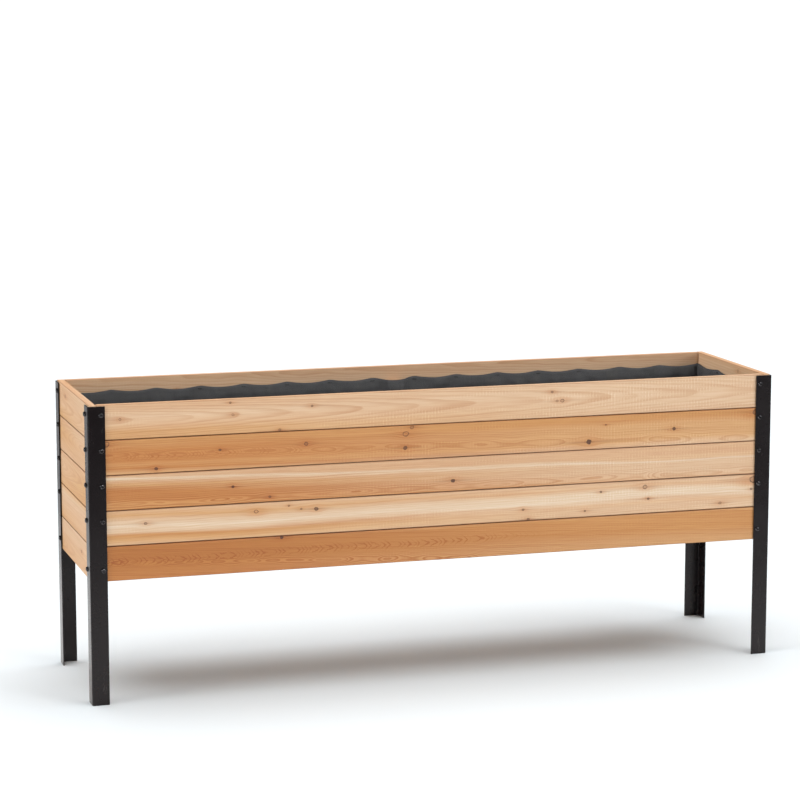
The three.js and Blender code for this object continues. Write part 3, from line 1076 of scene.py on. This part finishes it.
def makeLiner():
    settings = linerSettings
    box = linerBox()
    step = settings["step"]
    countX = 2 * round(box["halfX"] / step)
    countY = 2 * round(box["halfY"] / step)
    rows = round(box["rise"] / step)
    waves = [makeWaves(*wave) for wave in settings["waves"]]
    form = bmesh.new()
    flat = form.loops.layers.uv.new("cloth")
    cloth = {}

    def spread(i, count, half):
        return -half + 2 * half * i / count

    # the floor rumples where nothing holds it flat, and its rim draws in along the walls
    floor = {}
    cove = settings["cove"]
    for i in range(countX + 1):
        for j in range(countY + 1):
            x, y = spread(i, countX, box["halfX"]), spread(j, countY, box["halfY"])
            toX, toY = box["halfX"] - abs(x), box["halfY"] - abs(y)
            free = smooth(min(toX, toY), 0.0, 0.05)
            lift = settings["rumple"] * max(0.0, waves[2](x, y)) * free
            lift += settings["rumple"] * max(0.0, 1 - abs(waves[1](y, x))) ** 3 * free
            creases = max(creaseAt(x, settings["creaseGap"]), creaseAt(y, 0.5))
            lift += settings["crease"] * creases * free
            inX, inY = (cove if off < 1e-6 else 0.0 for off in (toX, toY))
            atWall = smooth(abs(y), box["halfY"] - 0.09, box["halfY"])
            inY = max(inY, (box["battenDeep"] + cove) * nearBatten(box, x) * atWall)
            place = (x - math.copysign(inX, x), y - math.copysign(inY, y), box["floor"] + lift)
            floor[i, j] = form.verts.new(place)
            cloth[floor[i, j]] = (x, y)

    # the rim of the floor, anticlockwise from the front left corner, carries the four walls
    rim = [(i, 0, "long", 0, -1) for i in range(countX)]
    rim += [(countX, j, "short", 1, 0) for j in range(countY)]
    rim += [(i, countY, "long", 0, 1) for i in range(countX, 0, -1)]
    rim += [(0, j, "short", -1, 0) for j in range(countY, 0, -1)]
    columns = []
    for i, j, wall, outX, outY in rim:
        x, y = spread(i, countX, box["halfX"]), spread(j, countY, box["halfY"])
        column = [floor[i, j]]
        isCorner = i in (0, countX) and j in (0, countY)
        t, half = (x, box["halfX"]) if wall == "long" else (y, box["halfY"])
        spaces = round(2 * half / settings["stapleGap"])
        between = abs(math.sin(math.pi * (t + half) / (2 * half) * spaces))  # 0 at a staple
        for row in range(1, rows + 1):
            rise = box["rise"] * row / rows
            inset = linerInset(box, wall, t, half, rise, waves)
            inset += settings["bulge"] * between * (row / rows) ** 8
            inX, inY = outX * inset, outY * inset
            if isCorner:
                corner = 0.004 + 0.008 * (1 - rise / box["rise"])
                inX, inY = math.copysign(corner, x), math.copysign(corner, y)
            drop = settings["sag"] * between * (row / rows) ** 6
            vert = form.verts.new((x - inX, y - inY, box["floor"] + rise - drop))
            cloth[vert] = (x + outX * rise, y + outY * rise)
            column.append(vert)
        columns.append((column, outX, outY))

    def addPatch(quad, places):
        patch = form.faces.new(quad)
        patch.smooth = True
        for loop, place in zip(patch.loops, places):
            loop[flat].uv = place

    for i in range(countX):
        for j in range(countY):
            quad = [floor[i, j], floor[i + 1, j], floor[i + 1, j + 1], floor[i, j + 1]]
            addPatch(quad, [cloth[vert] for vert in quad])
    for (column, outX, outY), (following, *_) in zip(columns, columns[1:] + columns[:1]):
        for row in range(rows):
            quad = [column[row], column[row + 1], following[row + 1], following[row]]
            rises = [box["rise"] * r / rows for r in (row, row + 1, row + 1, row)]
            feet = [cloth[foot[0]] for foot in (column, column, following, following)]
            addPatch(quad, [(x + outX * rise, y + outY * rise) for (x, y), rise in zip(feet, rises)])
    mesh = bpy.data.meshes.new("liner")
    form.to_mesh(mesh)
    form.free()
    liner = addObject("liner_cloth", mesh)
    mesh.materials.append(makeClothMaterial())
    soften = liner.modifiers.new("soften", "SMOOTH")
    soften.factor = 0.5
    soften.iterations = 1
    thick = liner.modifiers.new("thick", "SOLIDIFY")
    thick.thickness = settings["thick"]
    thick.offset = 0.0
    settle(liner, "liner_fabric", "fabric_liner")
    return box


# Staples along the top of the cloth
stapleSettings = {"crown": 0.0112, "wire": 0.0013, "leg": 0.004, "drop": 0.009, "seat": 0.0015}


def makeStapleTree():
    inputs = {
        "Staple": "Object",
        "Start": (0.0, 0.0, 0.0),
        "End": (1.0, 0.0, 0.0),
        "Count": 10,
        "Turn": 0.0,
        "Tilt": 0.14,
        "Seed": 0,
        "Material": "Material",
    }
    tree, given = newGeometryTree("stapleRow", inputs)
    between = {"Count": given["Count"], "Start Location": given["Start"], "Offset": given["End"]}
    line = made(tree, "GeometryNodeMeshLine", between, mode="END_POINTS")
    lowest = times(tree, given["Tilt"], -1.0)
    limits = {"Min": lowest, "Max": given["Tilt"], "Seed": given["Seed"]}
    tilt = combine(tree, 0.0, made(tree, "FunctionNodeRandomValue", limits), 0.0)
    return endRow(tree, given, line, "Staple", combine(tree, 0.0, 0.0, given["Turn"]), tilt)


# One staple on the wall plane y = 0, its crown standing off towards -Y and its legs in the wood
def makeStapleTemplate():
    crown, bend, leg = (stapleSettings[key] for key in ("crown", "wire", "leg"))
    flat, high = 0.42 * bend, 0.5 * bend  # the wire is a little flattened
    half = crown / 2
    path = [(-half, leg), (-half, bend)]
    for angle in (math.pi / 6, math.pi / 3):
        path.append((-half + bend - bend * math.cos(angle), bend - bend * math.sin(angle)))
    path.append((-half + bend, 0.0))
    path += [(-x, y) for x, y in reversed(path)]
    form = bmesh.new()
    rings = []
    for k, (x, y) in enumerate(path):
        before, after = path[max(0, k - 1)], path[min(len(path) - 1, k + 1)]
        along = Vector((after[0] - before[0], after[1] - before[1], 0.0)).normalized()
        out = Vector((along.y, -along.x, 0.0))
        ring = []
        for i in range(8):
            angle = 2 * math.pi * (i + 0.5) / 8
            offset = out * (flat * math.cos(angle)) + Vector((0, 0, high * math.sin(angle)))
            ring.append(form.verts.new(Vector((x, y, 0.0)) + offset))
        rings.append(ring)
    for first, second in zip(rings, rings[1:]):
        joinLoops(form, first, second)
    form.faces.new(rings[0][::-1])
    form.faces.new(rings[-1])
    staple = meshPiece("staple_template", form, None)
    staple.data.shade_smooth()
    return staple


def makeStaples(box):
    template = makeStapleTemplate()
    tree = makeStapleTree()
    material = makeScrewMetal()
    # the crown lies on the cloth, which stands a little off the wall
    endX, endY = box["halfX"], box["halfY"]
    standOff = linerSettings["thick"] + stapleSettings["seat"]
    x, y = endX - standOff, endY - standOff
    z = box["floor"] + box["rise"] - stapleSettings["drop"]
    rows = {
        "back": ((-endX, y, z), (endX, y, z), 0.0),
        "front": ((-endX, -y, z), (endX, -y, z), math.pi),
        "right": ((x, -endY, z), (x, endY, z), -math.pi / 2),
        "left": ((-x, -endY, z), (-x, endY, z), math.pi / 2),
    }
    for number, (side, (start, end, turn)) in enumerate(rows.items()):
        span = Vector(end) - Vector(start)
        spaces = round(span.length / linerSettings["stapleGap"])
        values = {
            "Staple": template,
            "Start": Vector(start) + span / spaces,
            "End": Vector(end) - span / spaces,
            "Count": spaces - 1,
            "Turn": turn,
            "Seed": number,
            "Material": material,
        }
        settle(growPiece(f"{side}_staples", tree, values), "black_screw")
    bpy.data.objects.remove(template)
    print("planter: staples made")


makeLegs()
makeScrews()
linerSpace = makeLiner()
makeStaples(linerSpace)

# Stage, light and camera
studio = {
    "camera": (-2.092, -6.723, 1.815),
    "target": (-0.1135, -0.23, 0.736),
    "lens": 122.0,
    "ground": (0.605, 0.64, 0.66),
    "nearGround": (0.94, 0.94, 0.94),
    "farGround": (0.06, 0.06, 0.065),
    "farReach": (0.9, 3.2),  # metres from the planter where the ground starts and ends to darken
    "frontFall": (-0.6, 0.6, 1.0, 0.66),  # from, to along Y, and the share of darkening at each
    "groundHalf": 60,
    "backdrop": (-0.9, 0.3, 0.06, 0.3),  # from, to along Y, and the strength at each
    "seenBackdrop": 1.1,
    "lampTarget": (0.0, 0.0, 0.5),
    "lamps": {
        "overhead": {"at": (0.3, 0.15, 4.5), "spread": 84, "power": 4.5},
        "key": {"at": (3.1, -4.1, 1.5), "spread": 24, "power": 1.5},
        "side": {"at": (-5.0, -1.1, 1.2), "spread": 28, "power": 2.1},
        "glintRight": {"at": (1.6, -4.5, 3.6), "spread": 8, "power": 2.8, "glossOnly": True},
        "glintLeft": {"at": (-4.6, -4.0, 0.4), "spread": 8, "power": 1.9, "glossOnly": True},
    },
}


# Puts a camera or a lamp in its place, looking at the target
def stand(name, data, place, target):
    thing = addObject(name, data)
    thing.location = place
    direction = Vector(target) - thing.location
    thing.rotation_euler = direction.to_track_quat("-Z", "Y").to_euler()
    return thing


# Reflections see the ground fall dark away from the planter, most of all in front
def makeGround():
    material, tree, shader = newMaterial("ground")
    where = objectPlace(tree)
    away = made(tree, "ShaderNodeVectorMath", {"Vector": where}, operation="LENGTH")
    mirrored = addNode(tree, "ShaderNodeLightPath").outputs["Is Glossy Ray"]
    front = ease(tree, splitVector(tree, where)["Y"], *studio["frontFall"])
    distance = times(tree, ease(tree, away, *studio["farReach"]), front)
    near, far, plain = (colour(*studio[key]) for key in ("nearGround", "farGround", "ground"))
    reflected = blendColour(tree, distance, near, far)
    plug(tree, shader.inputs["Base Color"], blendColour(tree, mirrored, plain, reflected))
    setShader(shader, Roughness=0.9, Specular_IOR_Level=0.0)
    ground = bmesh.new()
    bmesh.ops.create_grid(ground, x_segments=1, y_segments=1, size=studio["groundHalf"])
    meshPiece("ground", ground, material)


# The backdrop is plain white, and dimmer for light and reflections from the front
def makeBackdrop():
    world = bpy.data.worlds.new("studio")
    world.use_nodes = True
    bpy.context.scene.world = world
    tree = world.node_tree
    tree.nodes.clear()
    where = addNode(tree, "ShaderNodeTexCoord").outputs["Generated"]
    strength = ease(tree, splitVector(tree, where)["Y"], *studio["backdrop"])
    seen = addNode(tree, "ShaderNodeLightPath").outputs["Is Camera Ray"]
    strength = calc(tree, "MAXIMUM", strength, times(tree, seen, studio["seenBackdrop"]))
    back = made(tree, "ShaderNodeBackground", {"Color": colour(1, 1, 1), "Strength": strength})
    plug(tree, addNode(tree, "ShaderNodeOutputWorld").inputs["Surface"], back)


def makeStudio():
    scene = bpy.context.scene
    scene.view_settings.view_transform = "Standard"
    lens = bpy.data.cameras.new("camera")
    lens.lens = studio["lens"]
    lens.sensor_width = 36.0
    lens.clip_end = 200.0
    scene.camera = stand("camera", lens, studio["camera"], studio["target"])
    makeGround()
    makeBackdrop()
    # wide soft suns, so that the ground stays even out to the horizon
    for name, lamp in studio["lamps"].items():
        light = bpy.data.lights.new(name, "SUN")
        light.energy = lamp["power"]
        light.angle = math.radians(lamp["spread"])
        sun = stand(name, light, lamp["at"], studio["lampTarget"])
        sun.visible_glossy = name != "overhead"
        sun.visible_diffuse = not lamp.get("glossOnly", False)
    print("planter: studio made")


makeStudio()
